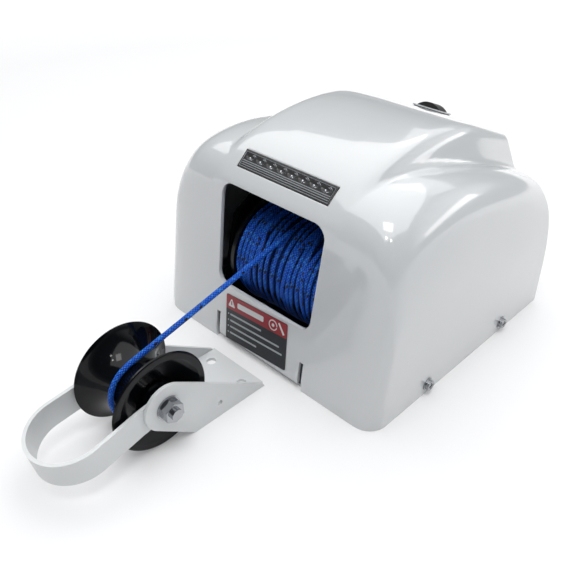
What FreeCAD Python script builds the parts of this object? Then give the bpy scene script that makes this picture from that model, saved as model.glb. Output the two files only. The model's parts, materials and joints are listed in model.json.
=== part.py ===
"""Anchor windlass with its roller bracket, one STEP file for each sub-part.

Row frame in millimetres: X across, -Y towards the bow, +Z up. The origin is the centre of the
windlass's deck bolt pattern, on the deck. The roller bracket stands on the same deck, ahead of it.
"""
import FreeCAD, Part
import math
import os

V = FreeCAD.Vector
X_AXIS, Y_AXIS, Z_AXIS = V(1, 0, 0), V(0, 1, 0), V(0, 0, 1)

# ---- driving dimensions: cover ----
HALF_WIDTH = 135.0
HALF_LENGTH = 135.0
WALL = 3.5
FACE_SLOPE = 0.15            # the front face leans back this much per unit of height
CORNER_RADIUS = 19.0
WINDOW_LOW, WINDOW_HIGH = 60.6, 157.0
WINDOW_HALF_BOTTOM, WINDOW_HALF_TOP = 56.8, 60.3
WINDOW_CORNER = 12.0
SLOT_X, SLOT_WIDTH, SLOT_TOP = 53.7, 4.6, 29.7
TONGUE_RISE = 6.5            # the edge between the slots stands this far above the deck
LABEL_SIZE, LABEL_X, LABEL_Z, LABEL_TURN = (39.0, 23.3), -3.7, 32.6, 3.6
# (y, z) along the middle of the cover, above the flat front face
HUMP_SIDE = [(-113.4, 156.0), (-102.6, 169.0), (-90.3, 180.5), (-68, 190.8), (-36, 197.6), (0, 200.4),
             (32, 199.2), (60, 194.2), (88, 184.2), (112, 174.2), (150, 158.0)]
# (y, z) along the shoulders beside the hump
SHOULDER_SIDE = [(-115.6, 141.0), (-110.5, 158.0), (-96, 174.0), (-72, 181.6), (-38, 183.0), (4, 176.5),
                 (52, 163.5), (100, 147.0), (150, 125.0)]
# (x, drop) across each of them, from the top outwards
HUMP_ACROSS = [(0, 0), (30, 0), (52, -0.6), (62, -2.4), (70, -7.0), (76.5, -16), (84, -31), (110, -84), (200, -270)]
SHOULDER_ACROSS = [(0, 0), (60, 0), (86, -0.3), (101, -2.6), (113, -8.6), (121, -17.5), (127, -29),
                   (131, -45), (133.6, -66), (134.6, -95), (135, -140), (135.6, -300)]

# ---- driving dimensions: drum, gears and motor, all turning about X ----
DRUM_Y, DRUM_Z = -67.0, 77.0
SHAFT_R = 8.0
CORE_R = 20.0
FLANGE_R, FLANGE_T = 51.0, 4.0
FLANGE_LEFT_X, FLANGE_RIGHT_X = -50.0, 57.0
WINDING_R = 49.4
ROPE_R = 2.4
ROPE_LAY_R = 47.0            # drum axis to the centre of the rope that is paid out
ROPE_GAP = 0.3
TROUGH_HALF = 4.2
MODULE = 2.0
DRUM_TEETH, IDLER_PINION_TEETH, IDLER_TEETH, MOTOR_PINION_TEETH = 48, 14, 44, 12
BACKLASH = 0.3
IDLER_Y = DRUM_Y + MODULE * (DRUM_TEETH + IDLER_PINION_TEETH) / 2
MOTOR_Y = IDLER_Y + MODULE * (IDLER_TEETH + MOTOR_PINION_TEETH) / 2
GEAR_1_X, GEAR_2_X, GEAR_T = 72.0, 84.0, 8.0
MOTOR_R = 36.0
RUNNING_GAP = 0.05

# ---- driving dimensions: chassis ----
PLATE_T = 3.0
FRAME_T = 4.0
FRAME_LEFT_X, FRAME_RIGHT_X, GEAR_PLATE_X = -64.0, 64.0, 96.0
DECK_X, DECK_Y, DECK_HOLE_R = 116.0, 100.0, 4.5
LIP_HEIGHT = 22.0
COVER_SCREWS = [(-58.8, 9.8), (63.5, 9.8)]
COVER_SCREW_R = 2.5
SPACER_RODS = [(84, 24), (60, 124), (-20, 126)]
ROD_R = 5.0
FOOT_SCREWS_Y = [-96, -10, 76]
FEET = [FRAME_LEFT_X - 8, FRAME_RIGHT_X - 8, GEAR_PLATE_X + FRAME_T + 5]
GLAND_X, GLAND_Z, GLAND_R, GLAND_BORE_R = -92.0, 28.0, 8.0, 3.5

# ---- driving dimensions: work lamp and switch ----
LAMP_Y, LAMP_Z, LAMP_TILT = -96.5, 174.75, 43.35
LAMP_LENGTH, LAMP_WIDTH, LAMP_DEPTH = 104.0, 17.2, 15.0
LED_COUNT = 8
SWITCH_Y, SWITCH_Z, SWITCH_TILT = 108.0, 175.9, -22.6
SWITCH_LENGTH, SWITCH_WIDTH = 25.0, 16.0

# ---- driving dimensions: roller bracket ----
BRACKET_X = -7.5
CHEEK_OUT = 35.4
NOSE_R = 20.5
AXLE_Y, AXLE_Z, AXLE_R = -253.0, 44.3, 5.0
BRACKET_REAR, BRACKET_FRONT = -152.0, -230.0
BRACKET_HOLE_X, BRACKET_HOLE_Y, BRACKET_CENTRE_Y, BRACKET_HOLE_R = 20.5, 23.0, -189.0, 4.5
ROLLER_R, ROLLER_HALF, GROOVE_R = 43.6, 27.6, 24.8
ROPE_TURN_R = GROOVE_R + ROPE_GAP + ROPE_R
BAIL_OUT, BAIL_T, BAIL_HEIGHT = 32.2, 3.0, 24.0
BAIL_STRAIGHT = 24.0         # the sides are parallel this far ahead of the axle, then splay a little
BAIL_BEND_R, BAIL_BEND_Y, BAIL_DROP = 34.4, -316.5, 9.5
WRAP_CORNERS, WRAP_TURN = 5, 40.0
TAIL = 14.0
KNOT_R = 7.0


# ---- helpers ----
def box(x0, x1, y0, y1, z0, z1):
    return Part.makeBox(x1 - x0, y1 - y0, z1 - z0, V(x0, y0, z0))


def rod(radius, x0, x1, y, z):
    """A cylinder along X."""
    return Part.makeCylinder(radius, x1 - x0, V(x0, y, z), X_AXIS)


def ring(outer, inner, x0, x1, y, z):
    return rod(outer, x0, x1, y, z).cut(rod(inner, x0 - 1, x1 + 1, y, z))


def prism(points, x0, x1):
    """A polygon of (y, z) points, extruded along X."""
    wire = Part.makePolygon([V(x0, y, z) for y, z in points + points[:1]])
    return Part.Face(wire).extrude(V(x1 - x0, 0, 0))


def hexagon(across_flats, x0, x1, y, z):
    corner = across_flats / math.sqrt(3)
    angles = [math.radians(60 * k + 30) for k in range(6)]
    return prism([(y + corner * math.cos(a), z + corner * math.sin(a)) for a in angles], x0, x1)


def joined(shapes):
    """Touching solids as one solid."""
    result = shapes[0].multiFuse(shapes[1:]) if len(shapes) > 1 else shapes[0]
    return result.removeSplitter()


def group(shapes):
    """Separate solids in one node."""
    return Part.makeCompound(shapes)


def tilted(shape, tilt, y, z):
    """A shape drawn flat at the origin, tilted about X and moved to (0, y, z)."""
    placed = shape.copy()
    placed.rotate(V(0, 0, 0), X_AXIS, tilt)
    placed.translate(V(0, y, z))
    return placed


def rounded_slab(half_x, half_y, radius, z0, z1):
    """A plate with round vertical corners, centred on the Z axis."""
    slab = box(-half_x, half_x, -half_y, half_y, z0, z1)
    upright = [e for e in slab.Edges if abs(e.tangentAt(e.FirstParameter).z) > 0.9]
    return slab.makeFillet(radius, upright)


def export(name, shape):
    shape.exportStep(os.path.join("parts", name + ".step"))


# ---- cover ----
def smooth(points, steps=3):
    """More points on the smooth curve through these."""
    curve = Part.BSplineCurve()
    curve.interpolate([V(a, b, 0) for a, b in points])
    first, last = curve.FirstParameter, curve.LastParameter
    count = steps * (len(points) - 1)
    found = [curve.value(first + (last - first) * k / count) for k in range(count + 1)]
    return [(p.x, p.y) for p in found]


def moved_in(points, distance):
    """The profile, moved to its right-hand side by a distance."""
    result = []
    for k, (a, b) in enumerate(points):
        a0, b0 = points[max(k - 1, 0)]
        a1, b1 = points[min(k + 1, len(points) - 1)]
        run = math.hypot(a1 - a0, b1 - b0)
        result.append((a + distance * (b1 - b0) / run, b - distance * (a1 - a0) / run))
    return result


def swept_body(side, across, inset):
    """The solid under a side profile that is carried across the width along another profile."""
    foot = (side[0][0] - FACE_SLOPE * side[0][1] * 1.6, -0.6 * side[0][1])
    middle = [(side[0][0] - FACE_SLOPE * side[0][1] * k, side[0][1] * (1 - k)) for k in (1.2, 0.8, 0.4)]
    lengthwise = moved_in(smooth([foot] + middle + side), inset)
    crosswise = [(x, drop + inset) for x, drop in moved_in(smooth(across[1:]), inset)]
    crosswise = [(-x, drop) for x, drop in reversed(crosswise)] + [(0, 0)] + crosswise
    surface = Part.BSplineSurface()
    surface.interpolate([[V(x, y, z + drop) for y, z in lengthwise] for x, drop in crosswise])
    return surface.toShape().extrude(V(0, 0, -900))


def cover_body(inset):
    """The cover's outer form, or the hollow inside it."""
    space = rounded_slab(HALF_WIDTH - inset, HALF_LENGTH - inset, CORNER_RADIUS - inset, -inset, 240)
    parts = []
    for side, across in ((SHOULDER_SIDE, SHOULDER_ACROSS), (HUMP_SIDE, HUMP_ACROSS)):
        parts.append(swept_body(side, across, inset).common(space))
    return parts[0].fuse(parts[1])


def window_cutter():
    corners = [(-WINDOW_HALF_BOTTOM, WINDOW_LOW), (WINDOW_HALF_BOTTOM, WINDOW_LOW),
               (WINDOW_HALF_TOP, WINDOW_HIGH), (-WINDOW_HALF_TOP, WINDOW_HIGH)]
    wire = Part.makePolygon([V(x, -150, z) for x, z in corners + corners[:1]])
    cutter = Part.Face(wire).extrude(V(0, 52, 0))
    lengthwise = [e for e in cutter.Edges if abs(e.tangentAt(e.FirstParameter).y) > 0.9]
    return cutter.makeFillet(WINDOW_CORNER, lengthwise)


def make_cover():
    cover = cover_body(0).cut(cover_body(WALL)).cut(window_cutter())
    half_slot = SLOT_WIDTH / 2
    for side in (-1, 1):
        x = side * SLOT_X
        cover = cover.cut(box(x - half_slot, x + half_slot, -150, -120, -1, SLOT_TOP))
        for y, z in COVER_SCREWS:
            cover = cover.cut(rod(COVER_SCREW_R + 0.3, side * HALF_WIDTH - 8, side * HALF_WIDTH + 8, y, z))
    tongue = SLOT_X - half_slot
    cover = cover.cut(box(-tongue, tongue, -150, -120, -1, TONGUE_RISE))
    lamp_hole = box(-LAMP_LENGTH / 2 - 0.3, LAMP_LENGTH / 2 + 0.3,
                    -LAMP_WIDTH / 2 - 0.3, LAMP_WIDTH / 2 + 0.3, -LAMP_DEPTH - 8, 12)
    cover = cover.cut(tilted(lamp_hole, LAMP_TILT, LAMP_Y, LAMP_Z))
    switch_hole = box(-SWITCH_LENGTH / 2 - 2.6, SWITCH_LENGTH / 2 + 2.6,
                      -SWITCH_WIDTH / 2 - 2.6, SWITCH_WIDTH / 2 + 2.6, -14, 14)
    cover = cover.cut(tilted(switch_hole, SWITCH_TILT, SWITCH_Y, SWITCH_Z))
    return cover.cut(Part.makeCylinder(GLAND_R + 0.2, 20, V(GLAND_X, 125, GLAND_Z), Y_AXIS))


def make_label():
    """A thin printed plate on the tongue, laid on the leaning front face."""
    half_w, half_h = LABEL_SIZE
    plate = box(-half_w, half_w, -0.8, -0.35, -half_h, half_h)
    plate.rotate(V(0, 0, 0), Y_AXIS, -LABEL_TURN)
    plate.rotate(V(0, 0, 0), X_AXIS, -math.degrees(math.atan(FACE_SLOPE)))
    plate.translate(V(LABEL_X, front_face_y(LABEL_Z), LABEL_Z))
    return plate


def front_face_y(z):
    start_y, start_z = HUMP_SIDE[0]
    return start_y - FACE_SLOPE * (start_z - z)


# ---- gears ----
def gear_outline(teeth, tooth_angle, y, z):
    """Involute-like teeth, one of them centred on tooth_angle (degrees, from +Y towards +Z)."""
    pitch_r = MODULE * teeth / 2
    base_r = pitch_r * math.cos(math.radians(20))
    root_r, tip_r = pitch_r - 1.2 * MODULE, pitch_r + 0.85 * MODULE
    radii = [max(base_r, root_r) + (tip_r - max(base_r, root_r)) * k / 3 for k in range(4)]

    def half_angle(r):
        pressure = math.acos(min(1.0, base_r / r))
        flank = math.tan(math.radians(20)) - math.radians(20) - math.tan(pressure) + pressure
        return math.pi / (2 * teeth) + flank - BACKLASH / (2 * pitch_r)

    points = []
    for k in range(teeth):
        centre = math.radians(tooth_angle) + 2 * math.pi * k / teeth
        left = [(root_r, half_angle(radii[0]) * 1.12)] + [(r, half_angle(r)) for r in radii]
        turns = [(r, centre - a) for r, a in left] + [(r, centre + a) for r, a in reversed(left)]
        points += [(y + r * math.cos(t), z + r * math.sin(t)) for r, t in turns]
    return points


def gear(teeth, tooth_angle, x0, bore, y, z, hub_r=0, hub_length=0):
    blank = prism(gear_outline(teeth, tooth_angle, y, z), x0, x0 + GEAR_T)
    if hub_r:
        blank = blank.fuse(rod(hub_r, x0 + GEAR_T - 0.5, x0 + GEAR_T + hub_length, y, z))
    blank = blank.cut(rod(bore, x0 - 5, x0 + GEAR_T + hub_length + 5, y, z))
    if teeth > 40:
        for k in range(5):
            a = 2 * math.pi * k / 5 + 0.3
            r = MODULE * teeth * 0.3
            blank = blank.cut(rod(8, x0 - 1, x0 + GEAR_T + 1, y + r * math.cos(a), z + r * math.sin(a)))
    return blank


def make_gears():
    parts = {"drum_gear": gear(DRUM_TEETH, 0, GEAR_1_X, SHAFT_R, DRUM_Y, DRUM_Z)}
    parts["idler_pinion"] = gear(IDLER_PINION_TEETH, 180 + 180 / IDLER_PINION_TEETH, GEAR_1_X, 5,
                                 IDLER_Y, DRUM_Z)
    parts["idler_gear"] = gear(IDLER_TEETH, 0, GEAR_2_X, 5, IDLER_Y, DRUM_Z)
    parts["motor_pinion"] = gear(MOTOR_PINION_TEETH, 180 + 180 / MOTOR_PINION_TEETH, GEAR_2_X, 4,
                                 MOTOR_Y, DRUM_Z)
    return parts


# ---- drum ----
def make_winding():
    """The rope wound on the drum as one solid, with a trough where the paid-out rope leaves."""
    left, right = FLANGE_LEFT_X + FLANGE_T, FLANGE_RIGHT_X
    trough_r = ROPE_LAY_R - ROPE_R - ROPE_GAP
    outline = [(left, CORE_R), (left, WINDING_R - 3), (left + 8, WINDING_R), (-TROUGH_HALF - 4, WINDING_R),
               (-TROUGH_HALF, trough_r), (TROUGH_HALF, trough_r), (TROUGH_HALF + 4, WINDING_R),
               (right - 8, WINDING_R), (right, WINDING_R - 3), (right, CORE_R)]
    wire = Part.makePolygon([V(x, DRUM_Y, DRUM_Z + r) for x, r in outline + outline[:1]])
    return Part.Face(wire).revolve(V(0, DRUM_Y, DRUM_Z), X_AXIS, 360)


def make_drum():
    left_in, right_out = FLANGE_LEFT_X + FLANGE_T, FLANGE_RIGHT_X + FLANGE_T
    screws = []
    for k in range(6):
        a = math.radians(60 * k)
        y, z = DRUM_Y + 14 * math.cos(a), DRUM_Z + 14 * math.sin(a)
        screws.append(rod(4, FLANGE_LEFT_X - 3, FLANGE_LEFT_X, y, z))
        screws.append(rod(3, right_out, right_out + 2, y, z))
    return {
        "drum_core": ring(CORE_R, SHAFT_R, left_in, FLANGE_RIGHT_X, DRUM_Y, DRUM_Z),
        "drum_flange_left": ring(FLANGE_R, SHAFT_R, FLANGE_LEFT_X, left_in, DRUM_Y, DRUM_Z),
        "drum_flange_right": ring(FLANGE_R, SHAFT_R, FLANGE_RIGHT_X, right_out, DRUM_Y, DRUM_Z),
        "drum_screws": group(screws),
        "drum_shaft": rod(SHAFT_R, -72, GEAR_PLATE_X + 6, DRUM_Y, DRUM_Z),
        "rope_winding": make_winding(),
    }


# ---- chassis ----
def bushing(shaft_r, x, y, z):
    """A flanged bush in a frame plate whose left face is at x."""
    sleeve = ring(shaft_r + 3, shaft_r + RUNNING_GAP, x, x + FRAME_T, y, z)
    collar = ring(shaft_r + 5, shaft_r + RUNNING_GAP, x + FRAME_T, x + FRAME_T + 1.6, y, z)
    return joined([sleeve, collar])


def frame_plate(x, bores, foot_out):
    """An upright plate with a foot on the base pan and holes for its bushes."""
    top = [(-118, PLATE_T), (-113, 60), (-100, 118), (-72, 134), (40, 134), (88, 120), (98, PLATE_T)]
    plate = prism(top, x, x + FRAME_T)
    x0, x1 = (x + FRAME_T, x + FRAME_T + foot_out) if foot_out > 0 else (x + foot_out, x)
    plate = joined([plate, box(x0, x1, -112, 92, PLATE_T, 2 * PLATE_T)])
    for y, z, r in bores + [(y, z, ROD_R) for y, z in SPACER_RODS]:
        plate = plate.cut(rod(r, x - 1, x + FRAME_T + 1, y, z))
    for y in FOOT_SCREWS_Y:
        centre = (x0 + x1) / 2
        plate = plate.cut(Part.makeCylinder(2.5, 9, V(centre, y, 1), Z_AXIS))
    return plate


def make_base_pan():
    half = HALF_WIDTH - WALL - 0.5
    pan = rounded_slab(half, half, CORNER_RADIUS - WALL, 0, PLATE_T)
    for side in (-1, 1):
        x0, x1 = sorted((side * half, side * (half - PLATE_T)))
        lip = box(x0, x1, -100, 100, 0, LIP_HEIGHT)
        for y, z in COVER_SCREWS:
            lip = lip.cut(rod(COVER_SCREW_R + 0.05, x0 - 5, x1 + 5, y, z))
        pan = pan.fuse(lip)
        for y in (-DECK_Y, DECK_Y):
            pan = pan.cut(Part.makeCylinder(DECK_HOLE_R, 12, V(side * DECK_X, y, -4), Z_AXIS))
    for x in FEET:
        for y in FOOT_SCREWS_Y:
            pan = pan.cut(Part.makeCylinder(2.5, 12, V(x, y, -4), Z_AXIS))
    return pan.removeSplitter()


def make_chassis():
    drum_bore = (DRUM_Y, DRUM_Z, SHAFT_R + 3)
    idler_bore = (IDLER_Y, DRUM_Z, 8)
    motor_nose = (MOTOR_Y, DRUM_Z, 12)
    screws = []
    for x in FEET:
        for y in FOOT_SCREWS_Y:
            head = Part.makeCylinder(4, 3, V(x, y, 2 * PLATE_T), Z_AXIS)
            screws.append(joined([head, Part.makeCylinder(2.45, 2 * PLATE_T - 0.2, V(x, y, 0.2), Z_AXIS)]))
    rods = [rod(ROD_R - 0.02, FRAME_LEFT_X - 2, GEAR_PLATE_X + FRAME_T + 2, y, z) for y, z in SPACER_RODS]
    return {
        "base_pan": make_base_pan(),
        "frame_left": frame_plate(FRAME_LEFT_X, [drum_bore], -16),
        "frame_right": frame_plate(FRAME_RIGHT_X, [drum_bore, idler_bore, motor_nose], -16),
        "gear_side_plate": frame_plate(GEAR_PLATE_X, [drum_bore, idler_bore], 10),
        "spacer_rods": group(rods),
        "frame_screws": group(screws),
        "drum_bushings": group([bushing(SHAFT_R, x, DRUM_Y, DRUM_Z)
                                for x in (FRAME_LEFT_X, FRAME_RIGHT_X, GEAR_PLATE_X)]),
        "idler_bushings": group([bushing(5, x, IDLER_Y, DRUM_Z) for x in (FRAME_RIGHT_X, GEAR_PLATE_X)]),
    }


# ---- motor and electrics ----
def make_motor():
    can_x0, can_x1 = -46.0, FRAME_RIGHT_X - 6
    can = ring(MOTOR_R, MOTOR_R - 3, can_x0, can_x1, MOTOR_Y, DRUM_Z)
    nose = joined([ring(MOTOR_R, 4 + RUNNING_GAP, can_x1, FRAME_RIGHT_X, MOTOR_Y, DRUM_Z),
                   ring(11.9, 4 + RUNNING_GAP, FRAME_RIGHT_X, FRAME_RIGHT_X + FRAME_T, MOTOR_Y, DRUM_Z)])
    cap = joined([ring(MOTOR_R, 4 + RUNNING_GAP, can_x0 - 6, can_x0, MOTOR_Y, DRUM_Z),
                  rod(12, can_x0 - 10, can_x0 - 6, MOTOR_Y, DRUM_Z)])
    magnets = [ring(MOTOR_R - 3, MOTOR_R - 8, can_x0 + 12, can_x1 - 12, MOTOR_Y, DRUM_Z)
               .common(box(can_x0, can_x1, MOTOR_Y - 60, MOTOR_Y + 60, z0, z0 + 60))
               for z0 in (DRUM_Z + 6, DRUM_Z - 66)]
    screws = []
    for k in range(4):
        a = math.radians(45 + 90 * k)
        screws.append(rod(3.4, can_x0 - 9, can_x0 - 6, MOTOR_Y + 27 * math.cos(a), DRUM_Z + 27 * math.sin(a)))
    return {
        "motor_can": can,
        "motor_nose": nose,
        "motor_end_cap": cap,
        "motor_magnets": group(magnets),
        "motor_screws": group(screws),
        "motor_armature": ring(26, 4, can_x0 + 12, can_x1 - 12, MOTOR_Y, DRUM_Z),
        "motor_commutator": ring(12, 4, can_x0 + 2, can_x0 + 11, MOTOR_Y, DRUM_Z),
        "motor_shaft": rod(4, can_x0 - 5.5, GEAR_2_X + GEAR_T + 2, MOTOR_Y, DRUM_Z),
        "idler_shaft": rod(5, FRAME_RIGHT_X - 2, GEAR_PLATE_X + FRAME_T + 3, IDLER_Y, DRUM_Z),
    }


def make_electrics():
    relay = box(-112, -84, -40, 8, PLATE_T, 52)
    studs = [joined([Part.makeCylinder(3, 10, V(x, y, 52), Z_AXIS), Part.makeCylinder(5, 3, V(x, y, 54), Z_AXIS)])
             for x in (-106, -90) for y in (-30, -2)]
    receiver = box(-114, -82, 28, 84, PLATE_T, 26)
    terminal = box(-100, -82, -90, -54, PLATE_T, 22)
    for k in range(4):
        terminal = terminal.cut(Part.makeCylinder(2.6, 30, V(-91, -85 + 9 * k, 10), Z_AXIS))
    gland_out = HALF_LENGTH
    collar = Part.makeCylinder(GLAND_R + 4, 5, V(GLAND_X, gland_out, GLAND_Z), Y_AXIS)
    inner_nut = Part.makeCylinder(GLAND_R + 4, 4, V(GLAND_X, gland_out - WALL - 4.3, GLAND_Z), Y_AXIS)
    body = Part.makeCylinder(GLAND_R, WALL + 6, V(GLAND_X, gland_out - WALL - 4.5, GLAND_Z), Y_AXIS)
    bore = Part.makeCylinder(GLAND_BORE_R, 40, V(GLAND_X, gland_out - 25, GLAND_Z), Y_AXIS)
    return {
        "motor_relay": relay,
        "relay_studs": group(studs),
        "remote_receiver": receiver,
        "terminal_block": terminal,
        "cable_gland": joined([body, collar]).cut(bore),
        "gland_nut": inner_nut.cut(Part.makeCylinder(GLAND_R, 40, V(GLAND_X, gland_out - 25, GLAND_Z), Y_AXIS)),
    }


# ---- lamp and switch ----
def make_lamp():
    half_l, half_w = LAMP_LENGTH / 2, LAMP_WIDTH / 2
    lens_back = -2.6
    lens = box(-half_l, half_l, -half_w, half_w, lens_back, 1.2)
    housing = box(-half_l, half_l, -half_w, half_w, -LAMP_DEPTH, lens_back)
    housing = housing.cut(box(-half_l + 2, half_l - 2, -half_w + 1.6, half_w - 1.6, -LAMP_DEPTH + 2, 0))
    board = box(-half_l + 2.5, half_l - 2.5, -half_w + 2, half_w - 2, -LAMP_DEPTH + 2, -LAMP_DEPTH + 3.6)
    pitch = (LAMP_LENGTH - 10) / LED_COUNT
    middle = (LED_COUNT - 1) / 2
    reflector = box(-half_l + 3, half_l - 3, -half_w + 2.2, half_w - 2.2, -LAMP_DEPTH + 3.6, -4)
    leds = []
    for k in range(LED_COUNT):
        x = (k - middle) * pitch
        reflector = reflector.cut(Part.makeCone(2.6, 5.2, 8, V(x, 0, -LAMP_DEPTH + 3.6), Z_AXIS))
        leds.append(box(x - 1.5, x + 1.5, -1.5, 1.5, -LAMP_DEPTH + 3.6, -LAMP_DEPTH + 4.8))
    parts = {"lamp_lens": lens, "lamp_housing": housing, "lamp_board": board,
             "lamp_reflector": reflector, "lamp_leds": group(leds)}
    return {name: tilted(shape, LAMP_TILT, LAMP_Y, LAMP_Z) for name, shape in parts.items()}


def make_switch():
    half_l, half_w = SWITCH_LENGTH / 2, SWITCH_WIDTH / 2
    pivot_z = -1.0
    bezel = box(-half_l - 3.4, half_l + 3.4, -half_w - 3.4, half_w + 3.4, 0.6, 1.8)
    bezel = bezel.cut(box(-half_l - 1.4, half_l + 1.4, -half_w - 0.6, half_w + 0.6, -5, 9))
    body = box(-half_l - 2.4, half_l + 2.4, -half_w - 2.4, half_w + 2.4, -24, 0.6)
    body = body.cut(box(-half_l - 1.4, half_l + 1.4, -half_w - 0.6, half_w + 0.6, -8, 9))
    pin = Part.makeCylinder(1.5, 2 * half_w + 4.8, V(0, -half_w - 2.4, pivot_z), Y_AXIS)
    body = body.cut(pin)
    crown, rise = 19.0, 6.8
    dome = Part.makeCylinder(crown, 2 * half_w, V(0, -half_w, rise - crown), Y_AXIS)
    rocker = dome.common(box(-half_l, half_l, -half_w, half_w, -3.2, 20))
    rocker = rocker.cut(Part.makeCylinder(1.5 + RUNNING_GAP, 40, V(0, -20, pivot_z), Y_AXIS))
    parts = {"switch_bezel": bezel, "switch_body": body, "switch_pin": pin, "switch_rocker": rocker}
    return {name: tilted(shape, SWITCH_TILT, SWITCH_Y, SWITCH_Z) for name, shape in parts.items()}


def make_cover_fasteners():
    screws, washers = [], []
    for side in (-1, 1):
        for y, z in COVER_SCREWS:
            face = HALF_WIDTH + 0.15
            washer = ring(6, COVER_SCREW_R + 0.1, face, face + 1, y, z)
            head = rod(4.8, face + 1, face + 4, y, z)
            shank = rod(COVER_SCREW_R, face - 14, face + 1.5, y, z)
            screw = joined([head, shank]).cut(box(face + 2.6, face + 5, y - 0.6, y + 0.6, z - 3.4, z + 3.4))
            screw = screw.cut(box(face + 2.6, face + 5, y - 3.4, y + 3.4, z - 0.6, z + 0.6))
            for shape, store in ((washer, washers), (screw, screws)):
                store.append(shape if side > 0 else shape.mirror(V(0, 0, 0), X_AXIS))
    return {"cover_screws": group(screws), "cover_washers": group(washers)}


# ---- roller bracket ----
def cheek_face(x):
    """The side plate's outline: a foot line, a raised nose round the axle and a straight top edge."""
    top_rear = (BRACKET_REAR - 2.0, 3.4)
    reach = math.hypot(top_rear[0] - AXLE_Y, top_rear[1] - AXLE_Z)
    line = math.atan2(top_rear[1] - AXLE_Z, top_rear[0] - AXLE_Y)
    top_angle = line + math.acos(NOSE_R / reach)
    low = (BRACKET_FRONT, 0.0)
    low_reach = math.hypot(low[0] - AXLE_Y, low[1] - AXLE_Z)
    low_angle = math.atan2(low[1] - AXLE_Z, low[0] - AXLE_Y) - math.acos(NOSE_R / low_reach)

    def on_nose(angle):
        return V(x, AXLE_Y + NOSE_R * math.cos(angle), AXLE_Z + NOSE_R * math.sin(angle))

    start, end = on_nose(top_angle), on_nose(low_angle)
    middle = on_nose((top_angle + low_angle + 2 * math.pi) / 2)
    rear_top, rear_low = V(x, top_rear[0], top_rear[1]), V(x, BRACKET_REAR, 0)
    front_low = V(x, low[0], low[1])
    edges = [Part.LineSegment(rear_top, start).toShape(), Part.Arc(start, middle, end).toShape(),
             Part.LineSegment(end, front_low).toShape(), Part.LineSegment(front_low, rear_low).toShape(),
             Part.LineSegment(rear_low, rear_top).toShape()]
    return Part.Face(Part.Wire(edges))


def make_bracket():
    inner = CHEEK_OUT - PLATE_T
    shape = box(BRACKET_X - inner - 0.5, BRACKET_X + inner + 0.5, BRACKET_FRONT, BRACKET_REAR, 0, PLATE_T)
    for x in (BRACKET_X - CHEEK_OUT, BRACKET_X + inner):
        shape = shape.fuse(cheek_face(x).extrude(V(PLATE_T, 0, 0)))
    shape = shape.cut(rod(AXLE_R + 0.02, -60, 60, AXLE_Y, AXLE_Z))
    shape = shape.cut(rod(2.5, -60, 60, -202.7, 14.3))
    for x in (-BRACKET_HOLE_X, BRACKET_HOLE_X):
        for y in (-BRACKET_HOLE_Y, BRACKET_HOLE_Y):
            hole = V(BRACKET_X + x, BRACKET_CENTRE_Y + y, -4)
            shape = shape.cut(Part.makeCylinder(BRACKET_HOLE_R, 12, hole, Z_AXIS))
    return shape.removeSplitter()


def make_roller():
    """A waisted roller: an arc from rim to rim, with dished ends."""
    half = ROLLER_HALF
    x0, x1 = BRACKET_X - half, BRACKET_X + half
    rim, dish, bore = 1.8, 7.0, 7.0

    def at(x, r):
        return V(x, AXLE_Y, AXLE_Z + r)

    waist = Part.Arc(at(x1 - rim, ROLLER_R), at(BRACKET_X, GROOVE_R), at(x0 + rim, ROLLER_R)).toShape()
    edges = [Part.Arc(at(x0 + rim, ROLLER_R), at(x0 + 0.5, ROLLER_R - 0.6), at(x0, ROLLER_R - 2)).toShape(),
             Part.LineSegment(at(x0, ROLLER_R - 2), at(x0, ROLLER_R - 6)).toShape(),
             Part.LineSegment(at(x0, ROLLER_R - 6), at(x0 + dish, 19)).toShape(),
             Part.LineSegment(at(x0 + dish, 19), at(x0 + dish, 14)).toShape(),
             Part.LineSegment(at(x0 + dish, 14), at(x0, 13)).toShape(),
             Part.LineSegment(at(x0, 13), at(x0, bore)).toShape(),
             Part.LineSegment(at(x0, bore), at(x1, bore)).toShape(),
             Part.LineSegment(at(x1, bore), at(x1, 13)).toShape(),
             Part.LineSegment(at(x1, 13), at(x1 - dish, 14)).toShape(),
             Part.LineSegment(at(x1 - dish, 14), at(x1 - dish, 19)).toShape(),
             Part.LineSegment(at(x1 - dish, 19), at(x1, ROLLER_R - 6)).toShape(),
             Part.LineSegment(at(x1, ROLLER_R - 6), at(x1, ROLLER_R - 2)).toShape(),
             Part.Arc(at(x1, ROLLER_R - 2), at(x1 - 0.5, ROLLER_R - 0.6), at(x1 - rim, ROLLER_R)).toShape(),
             waist]
    profile = Part.Face(Part.Wire(edges))
    return profile.revolve(V(0, AXLE_Y, AXLE_Z), X_AXIS, 360)


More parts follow.
